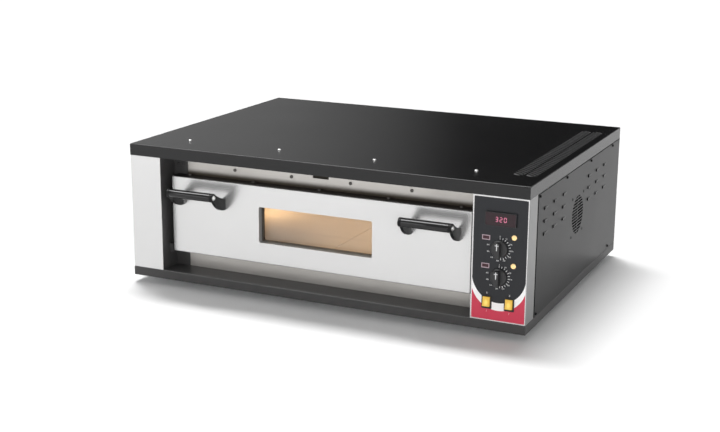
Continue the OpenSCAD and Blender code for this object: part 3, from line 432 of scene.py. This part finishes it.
# Oven lamp
# A small bayonet bulb sits in a ceramic holder in the right wall, behind a thick glass. It burns
# all the time the oven is on. Three weak lights under the roof stand for its glow and for the
# heat of the rods, which warm the colour of the stones.
ceramic = mottled("lamp_ceramic", {"Roughness": 0.35}, {"scale": 50},
                  [(0.62, 0.58, 0.50), (0.74, 0.70, 0.63)])
dress(ceramic, "lamp_holder")
bulb = mottled("bulb_glass", {"Roughness": 0.3, "Emission Strength": 6.0}, {"scale": 90},
               [(0.9, 0.8, 0.6), (0.95, 0.88, 0.7)],
               glow=[(1.0, 0.72, 0.40), (1.0, 0.80, 0.52)])
dress(bulb, "lamp_bulb")
clear = mottled("clear_glass", {"Transmission Weight": 1.0, "IOR": 1.47}, {"scale": 25},
                [(0.94, 0.96, 0.95), (0.98, 0.99, 0.98)], rough=(0.01, 0.03))
dress(clear, "lamp_glass", "glass_outer", "glass_inner")

under_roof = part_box("chamber_liner")[1].z - 0.035
for name, spot, size, energy in (
        ("oven_glow", (-0.13, 0.01, under_roof), (0.76, 0.30), 0.67),
        ("left_glow", (-0.38, 0.0, under_roof - 0.04), (0.10, 0.10), 0.17),
        ("front_glow", (0.06, -0.21, under_roof), (0.36, 0.10), 0.16)):
    glow = area_lamp(name, size, energy, Matrix.Translation(spot))
    glow.data.color = (1.0, 0.75, 0.51)
    glow.visible_camera = glow.visible_glossy = False

# Wiring bay
# Behind the control column: capillary thermostats, the display module, a contactor, the
# terminal block and the fan, all bought-in parts of dull moulded plastic and plated metal.
brass = mottled("copper_brass", {"Metallic": 1.0}, {"scale": 70},
                [(0.62, 0.42, 0.20), (0.78, 0.58, 0.30)], rough=(0.25, 0.2))
dress(brass, "thermocouple", "thermostat_top", "thermostat_bottom", "shaft_top", "shaft_bottom")
moulding = mottled("black_plastic", {"Specular IOR Level": 0.4}, {"scale": 900, "detail": 2},
                   [(0.010, 0.010, 0.011), (0.020, 0.020, 0.021)], rough=(0.40, 0.18),
                   bumps=(0.12, 0.0003))
dress(moulding, "cable_gland")
soot = mottled("fan_black", {"Specular IOR Level": 0.1}, {"scale": 500, "detail": 2},
               [(0.003, 0.003, 0.003), (0.008, 0.008, 0.008)], rough=(0.6, 0.2))
dress(soot, "fan_frame", "fan_rotor")
cream = mottled("contactor_white", {"Roughness": 0.45}, {"scale": 700, "detail": 2},
                [(0.16, 0.155, 0.145), (0.22, 0.215, 0.205)])
dress(cream, "contactor", "terminal_block")


# Control overlay
# A polyester film stuck on the column, screen printed from behind: a charcoal field, a white
# swoop under it, a red foot, two dial scales, and small frames for the heat symbols.
def middle_of(node):
    """The middle of a node's box, in mm."""
    low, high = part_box(node)
    return (low + high) / 2 / MM


def far(dx, dz):
    return (dx * dx + dz * dz) ** 0.5


def below_arc(dx, z, centre_z, radius):
    """What lies under the lower half of a circle on the panel's middle line."""
    return (far(dx, z - centre_z) > radius) * (z < centre_z)


panel_x = middle_of("overlay").x
swoop_z, swoop_r, foot_z, foot_r = 163.6, 70.1, 145.5, 72
dials = [middle_of(knob).z for knob in ("knob_top", "knob_bottom")]
figure_step, scale_left = 31.5, -2
tick_step, tick_half, tick_in, tick_out = figure_step / 2, 1.35, 23.4, 28.4
symbol_left, symbol_up, symbol_half_w, symbol_half_h, symbol_line = 36, 25.5, 10.4, 6.2, 2.1

film, shader, wire = finish("overlay_print", {"Specular IOR Level": 0.36})
x, z = in_mm(wire, "XZ")
x = x - panel_x
field_grain = grained(wire, 900, detail=2)
printed = between(wire, field_grain, (0.0085, 0.0095, 0.0125), (0.0115, 0.0125, 0.016))
printed = between(wire, below_arc(x, z, swoop_z, swoop_r), printed, (0.92, 0.91, 0.91))
printed = between(wire, below_arc(x, z, foot_z, foot_r), printed, (0.58, 0.038, 0.080))
for dial_z in dials:
    reach = far(x, z - dial_z)
    angle = wire.maths("ARCTAN2", x, z - dial_z) / math.radians(1)
    off_tick = abs((angle + tick_half * 2) % tick_step - tick_half * 2)
    tick = (reach > tick_in) * (reach < tick_out) * (off_tick < tick_half) * (x > scale_left)
    printed = between(wire, tick, printed, (0.78, 0.78, 0.78))
    dx, dz = abs(x + symbol_left), abs(z - (dial_z + symbol_up))
    outline = (dx < symbol_half_w) * (dz < symbol_half_h)
    inside = (dx < symbol_half_w - symbol_line) * (dz < symbol_half_h - symbol_line)
    printed = between(wire, outline, printed, (0.42, 0.32, 0.36))
    printed = between(wire, inside, printed, (0.045, 0.012, 0.018))
printed.to(shader, "Base Color")
(0.30 + 0.06 * grained(wire, 30)).to(shader, "Roughness")
relief(wire, grained(wire, 1500, detail=1), 0.03, 0.0002).to(shader, "Normal")
dress(film, "overlay")


# Dial figures
# White figures printed round both dials, from 0 at the top in steps of 50,
# and 0 and 1 above and below each switch.
def join(pieces, name):
    bpy.ops.object.select_all(action="DESELECT")
    for piece in pieces:
        piece.select_set(True)
    bpy.context.view_layer.objects.active = pieces[0]
    bpy.ops.object.join()
    pieces[0].name = name
    return pieces[0]


def settle(piece):
    """Puts an object's place into its mesh."""
    bpy.ops.object.select_all(action="DESELECT")
    piece.select_set(True)
    bpy.context.view_layer.objects.active = piece
    bpy.ops.object.transform_apply(location=True, rotation=True, scale=True)
    return piece


panel_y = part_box("overlay")[0].y / MM
ink_t = 0.04


def figure(text, size, x, z):
    bpy.ops.object.select_all(action="DESELECT")
    bpy.ops.object.text_add()
    made = bpy.context.active_object
    made.data.body, made.data.size = text, size * MM
    made.data.align_x, made.data.align_y = "CENTER", "CENTER"
    made.data.extrude, made.data.resolution_u = ink_t * MM, 3
    bpy.ops.object.convert(target="MESH")
    made = bpy.context.active_object
    made.location = Vector((x, panel_y - ink_t, z)) * MM
    made.rotation_euler = (math.radians(90), 0, 0)
    return settle(made)


dial_size, switch_size, figure_r = 4.6, 6.5, 31.2
switch_z = middle_of("switch_frames").z
figures = []
for dial_z in dials:
    for step in range(10):
        angle = math.radians(figure_step * step)
        dx, dz = figure_r * math.sin(angle), figure_r * math.cos(angle)
        figures.append(figure(str(50 * step), dial_size, panel_x + dx, dial_z + dz))
for rocker in ("rocker_left", "rocker_right"):
    for text, up in (("0", 23), ("1", -23.5)):
        figures.append(figure(text, switch_size, middle_of(rocker).x, switch_z + up))
figures = join(figures, "dial_figures")
ink = mottled("figure_ink", {"Roughness": 0.45}, {"scale": 400},
              [(0.62, 0.62, 0.62), (0.78, 0.78, 0.78)])
figures.data.materials.append(ink)
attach(figures, "casing")


# Display
# A moulded black frame stands out of the panel, its edges eased as moulding leaves them. It holds
# a dark red acrylic window over three lit seven segment figures.
def eased(node, name, body, material, radius, steps=3):
    """A copy of a solid with its triangles merged and its edges rounded, which stands for it."""
    merge, flat, sharp, smooth = 0.002 * MM, 0.4, 35, 38
    bpy.ops.object.select_all(action="DESELECT")
    piece = bpy.data.objects.new(name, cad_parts[node].data.copy())
    scene.collection.objects.link(piece)
    piece.select_set(True)
    bpy.context.view_layer.objects.active = piece
    bpy.ops.mesh.customdata_custom_splitnormals_clear()
    bpy.ops.object.mode_set(mode="EDIT")
    bpy.ops.mesh.select_all(action="SELECT")
    bpy.ops.mesh.remove_doubles(threshold=merge)
    bpy.ops.mesh.dissolve_limited(angle_limit=math.radians(flat))
    bpy.ops.object.mode_set(mode="OBJECT")
    bevel = piece.modifiers.new("eased", "BEVEL")
    bevel.width, bevel.segments = radius * MM, steps
    bevel.limit_method, bevel.angle_limit = "ANGLE", math.radians(sharp)
    bpy.ops.object.modifier_apply(modifier=bevel.name)
    bpy.ops.object.shade_smooth_by_angle(angle=math.radians(smooth))
    piece.data.materials.clear()
    piece.data.materials.append(material)
    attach(piece, body)
    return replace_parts(piece, node)


eased("controller", "display_frame", "casing", moulding, 0.5, 2)
lens = mottled("lens_red", {"Specular IOR Level": 0.35}, {"scale": 20},
               [(0.020, 0.009, 0.012), (0.027, 0.011, 0.015)], rough=(0.10, 0.05))
dress(lens, "display_lens")
lit = mottled("lit_segment", {"Roughness": 0.4, "Emission Strength": 0.75}, {"scale": 600},
              [(0.45, 0.10, 0.18), (0.55, 0.15, 0.24)],
              glow=[(0.72, 0.17, 0.30), (0.85, 0.28, 0.42)])


def block(size, place=(0, 0, 0)):
    """A new block of a size, with its middle at a place, both in mm."""
    bpy.ops.object.select_all(action="DESELECT")
    bpy.ops.mesh.primitive_cube_add(size=MM, location=Vector(place) * MM)
    made = bpy.context.active_object
    made.scale = size
    return settle(made)


bar_l, bar_w, bar_t, bar_tip = 5.6, 1.3, 0.08, 0.15
half = bar_l / 2
segment_spots = {"a": (0, bar_l, 0), "g": (0, 0, 0), "d": (0, -bar_l, 0), "b": (half, half, 90),
                 "c": (half, -half, 90), "e": (-half, -half, 90), "f": (-half, half, 90)}
segments_of = {"3": "abgcd", "2": "abged", "0": "abcdef"}
window = middle_of("display_lens")
window_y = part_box("display_lens")[0].y / MM
segments = []
for digit, digit_x in zip("320", (-10, 1, 12)):
    for name in segments_of[digit]:
        dx, dz, roll = segment_spots[name]
        bar = block((bar_l - bar_w, bar_t, bar_w))
        bpy.ops.object.mode_set(mode="EDIT")
        shape = bmesh.from_edit_mesh(bar.data)
        for face in shape.faces:
            face.select_set(abs(face.normal.x) > 0.9)
        bmesh.update_edit_mesh(bar.data)
        pull = {"value": -bar_w / 2 * MM}
        bpy.ops.mesh.extrude_region_shrink_fatten(TRANSFORM_OT_shrink_fatten=pull)
        bpy.ops.transform.resize(value=(1, 1, bar_tip))
        bpy.ops.object.mode_set(mode="OBJECT")
        bar.rotation_euler = (0, math.radians(roll), 0)
        bar.location = Vector((window.x + digit_x + dx, window_y - bar_t / 2, window.z + dz)) * MM
        segments.append(settle(bar))
segments = join(segments, "display_figures")
segments.data.materials.append(lit)
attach(segments, "casing")


# Pilot lamps, knobs and switches
# Snap-in amber lenses, bar knobs moulded in black phenolic with a white pointer let into the
# grip, and lit yellow rockers in black frames. Their edges are eased like the display's.
def break_edges(width):
    """Rounds every edge of the piece in hand a little."""
    bpy.ops.object.mode_set(mode="EDIT")
    bpy.ops.mesh.select_all(action="SELECT")
    bpy.ops.mesh.bevel(offset=width * MM, segments=2, affect="EDGES")
    bpy.ops.object.mode_set(mode="OBJECT")


amber = mottled("pilot_amber", {"Roughness": 0.25, "Emission Strength": 0.34}, {"scale": 300},
                [(0.80, 0.54, 0.20), (0.92, 0.70, 0.36)],
                glow=[(0.95, 0.62, 0.24), (1.0, 0.78, 0.44)])
eased("pilot_lamps", "pilot_lenses", "casing", amber, 0.7)

phenolic = mottled("knob_black", {"Specular IOR Level": 0.5}, {"scale": 700, "detail": 2},
                   [(0.011, 0.011, 0.012), (0.018, 0.018, 0.019)], rough=(0.30, 0.12),
                   bumps=(0.06, 0.0002))
inlay_t, inlay_edge = 0.3, 0.12
for knob, body in (("knob_top", "upper_knob"), ("knob_bottom", "lower_knob")):
    eased(knob, knob + "_moulding", body, phenolic, 0.9)
    centre, grip_y = middle_of(knob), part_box(knob)[0].y / MM
    lines = []
    for width, length, up in ((2.2, 18, 9.5), (9.5, 1.8, 13.5)):
        lines.append(block((width, inlay_t, length), (centre.x, grip_y, centre.z + up)))
        break_edges(inlay_edge)
    mark = join(lines, knob + "_pointer")
    mark.data.materials.append(ink)
    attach(mark, body)

eased("switch_frames", "switch_bezels", "casing", moulding, 0.5, 2)
yellow, shader, wire = finish("rocker_yellow", {"Roughness": 0.22, "Emission Strength": 0.34})
switch_out = middle_of("rocker_right").x - panel_x
hot_r, cool_r, squash = 1, 8, 0.7
x, z = in_mm(wire, "XZ")
off_lamp = far(abs(x - panel_x) - switch_out, (z - switch_z) * squash)
lamp = fading(wire, off_lamp, hot_r, cool_r)
between(wire, lamp, (0.68, 0.42, 0.06), (0.76, 0.55, 0.11)).to(shader, "Base Color")
between(wire, lamp, (0.60, 0.36, 0.04), (0.88, 0.68, 0.17)).to(shader, "Emission Color")
eased("rocker_left", "rocker_left_key", "left_rocker", yellow, 0.6, 2)
eased("rocker_right", "rocker_right_key", "right_rocker", yellow, 0.6, 2)

# Door
# The inner pan is dark enamelled and wraps over the top of the stainless skin. The window is
# two panes in a grey folded frame, kept apart by a drawn, blackened spacer.
enamel = mottled("enamel_dark", {"Specular IOR Level": 0.12}, {"scale": 240},
                 [(0.010, 0.009, 0.008), (0.016, 0.0148, 0.0135)], rough=(0.25, 0.2),
                 bumps=(0.05, 0.0003))
dress(enamel, "door_inner")
reveal = mottled("window_grey", {"Specular IOR Level": 0.4}, {"scale": 40},
                 [(0.27, 0.268, 0.265), (0.33, 0.328, 0.325)], rough=(0.4, 0.15))
dress(reveal, "window_frame")
spacer = mottled("spacer_alu", {"Metallic": 0.8}, {"scale": 60},
                 [(0.13, 0.13, 0.13), (0.18, 0.18, 0.18)], rough=(0.42, 0.15))
dress(spacer, "glass_spacer")

# Handles
# Each is a round bar of glossy black phenolic held by a screw through two cast brackets with
# a matt black paint. Below, the door turns on steel pins in dark bearing blocks.
gloss = mottled("handle_black", {"Specular IOR Level": 0.4}, {"scale": 30},
                [(0.006, 0.006, 0.0065), (0.011, 0.011, 0.0115)], rough=(0.07, 0.05),
                bumps=(0.03, 0.0003), bump_grain={"scale": 500, "detail": 2})
cast = mottled("bracket_black", {"Specular IOR Level": 0.14}, {"scale": 160, "detail": 3},
               [(0.007, 0.007, 0.0075), (0.012, 0.012, 0.0125)], rough=(0.32, 0.10),
               bumps=(0.08, 0.0003))
eased("handle_brackets", "handle_castings", "door", cast, 1.6, 4)
eased("handle_bars", "handle_grips", "door", gloss, 0.8)
bright = mottled("fastener_steel", {"Metallic": 1.0}, {"scale": 300},
                 [(0.62, 0.62, 0.61), (0.78, 0.78, 0.77)], rough=(0.34, 0.16))
dress(bright, "hinge_blocks", "hinge_pins")
dress(lining, "hinge_bushes")


# Fasteners
# Pan-head screws with a cross recess hold the sheets: zinc plated on the cover and back, tanned
# by heat at the oven mouth, and painted over with their panel in the sides. The fan has flat
# heads, and the screws in the ends of the bars bear on a bright washer.
def pan_head(radius, height):
    """A turned head with a domed rim and a cross recess, standing on the origin."""
    dome, smooth, recess_w, recess_l, recess_h = 0.62 * height, 40, 1.2, 5.2, 0.8 * height
    bpy.ops.object.select_all(action="DESELECT")
    bpy.ops.mesh.primitive_cylinder_add(vertices=24, radius=radius * MM, depth=height * MM,
                                        location=(0, 0, height / 2 * MM))
    head = settle(bpy.context.active_object)
    bpy.ops.object.mode_set(mode="EDIT")
    bpy.ops.mesh.select_mode(type="EDGE")
    bpy.ops.mesh.select_all(action="DESELECT")
    shape = bmesh.from_edit_mesh(head.data)
    for edge in shape.edges:
        edge.select_set(all(end.co.z > 0.9 * height * MM for end in edge.verts))
    bmesh.update_edit_mesh(head.data)
    bpy.ops.mesh.bevel(offset=dome * MM, segments=4, affect="EDGES")
    bpy.ops.object.mode_set(mode="OBJECT")
    for width, length in ((recess_w, recess_l), (recess_l, recess_w)):
        punch = block((width, length, recess_h), (0, 0, height))
        cut = head.modifiers.new("recess", "BOOLEAN")
        cut.operation, cut.object, cut.solver = "DIFFERENCE", punch, "EXACT"
        bpy.ops.object.select_all(action="DESELECT")
        bpy.context.view_layer.objects.active = head
        bpy.ops.object.modifier_apply(modifier=cut.name)
        bpy.data.objects.remove(punch)
    bpy.ops.object.shade_smooth_by_angle(angle=math.radians(smooth))
    return head


def set_screws(pattern, spots, name, body, node, material):
    """Copies of one head, each at its place, along its axis and with its own turn."""
    placed, each_turn = [], 37
    for number, (spot, axis) in enumerate(spots):
        head = bpy.data.objects.new(name, pattern.data.copy())
        scene.collection.objects.link(head)
        driven = turned_to(axis) @ Matrix.Rotation(math.radians(each_turn * number), 4, "Z")
        head.matrix_world = Matrix.Translation(Vector(spot) * MM) @ driven
        placed.append(settle(head))
    piece = join(placed, name)
    piece.data.materials.clear()
    piece.data.materials.append(material)
    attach(piece, body)
    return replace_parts(piece, node)


tanned = mottled("fastener_dark", {"Metallic": 0.9}, {"scale": 300},
                 [(0.10, 0.095, 0.09), (0.17, 0.16, 0.15)], rough=(0.36, 0.16))

head_r, head_h = 4.5, 3.2
upwards, forwards, backwards = (0, 0, 1), (0, -1, 0), (0, 1, 0)
row_of_four, row_of_five = (-1.5, -0.5, 0.5, 1.5), (-2, -1, 0, 1, 2)
door_x = middle_of("door_shell").x
side_x, back_y = (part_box("top_cover")[1] / MM).xy
low_row, high_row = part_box("base_tray")[1].z / MM + 7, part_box("right_side")[1].z / MM - 5.5
head = pan_head(head_r, head_h)

cover_y, cover_z, cover_pitch, back_pitch = -320, 396, 281.5, 277.5
bare = [((door_x + cover_pitch * i, cover_y, cover_z), upwards) for i in row_of_four]
bare += [((back_pitch * i, back_y, z), backwards) for i in row_of_five for z in (low_row, high_row)]
set_screws(head, bare, "casing_screw_heads", "casing", "casing_screws", bright)

mouth_y, mouth_pitch, mouth_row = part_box("front_frame")[0].y / MM, 174, 334.5
hot = [((door_x + mouth_pitch * i, mouth_y, mouth_row), forwards) for i in row_of_four]
set_screws(head, hot, "mouth_screw_heads", "casing", "casing_screws", tanned)
jamb_y = -353
in_jamb = [((x, jamb_y, mouth_row), forwards) for x in (-465.5, -449.5)]
set_screws(head, in_jamb, "jamb_screw_heads", "casing", "casing_screws", lining)

small_r, side_y, side_pitch = 3.6, 345, 230
painted_over = [((side_x * side, side_pitch * i, high_row), (side, 0, 0))
                for side in (-1, 1) for i in row_of_four]
painted_over += [((side_x * side, y, low_row), (side, 0, 0))
                 for side in (-1, 1) for y in (-side_y, side_y)]
small = pan_head(small_r, head_h)
set_screws(small, painted_over, "side_screw_heads", "casing", "casing_screws", side_coat)
bpy.data.objects.remove(small)

rim_y, door_z, door_pitch = -360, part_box("door_shell")[1].z / MM, 200
in_door = [((door_x + door_pitch * i, rim_y, door_z), upwards) for i in row_of_five]
set_screws(head, in_door, "door_screw_heads", "door", "door_screws", tanned)
bpy.data.objects.remove(head)

flat_r, flat_h, fan_half, fan_z = 4, 0.8, 52.5, middle_of("fan_frame").z
flat = pan_head(flat_r, flat_h)
in_fan = [((side_x, y, fan_z + up), (1, 0, 0))
          for y in (-fan_half, fan_half) for up in (-fan_half, fan_half)]
set_screws(flat, in_fan, "fan_screw_heads", "casing", "casing_screws", side_coat)
bpy.data.objects.remove(flat)

washer_r, washer_t, washer_edge = 6.5, 1.2, 0.25
bpy.ops.object.select_all(action="DESELECT")
bpy.ops.mesh.primitive_cylinder_add(vertices=32, radius=washer_r * MM, depth=washer_t * MM,
                                    location=(0, 0, washer_t / 2 * MM))
washer = settle(bpy.context.active_object)
break_edges(washer_edge)
head = pan_head(head_r, head_h)
head.location.z = washer_t * MM
ends = join([settle(head), washer], "bar_screw")
bars, bar_at, bar_half = middle_of("handle_bars"), 341, 71
bar_ends = [((door_x + bar_at * side + bar_half * end, bars.y, bars.z), (end, 0, 0))
            for side in (-1, 1) for end in (-1, 1)]
set_screws(ends, bar_ends, "bar_screw_heads", "door", "door_screws", bright)
bpy.data.objects.remove(ends)
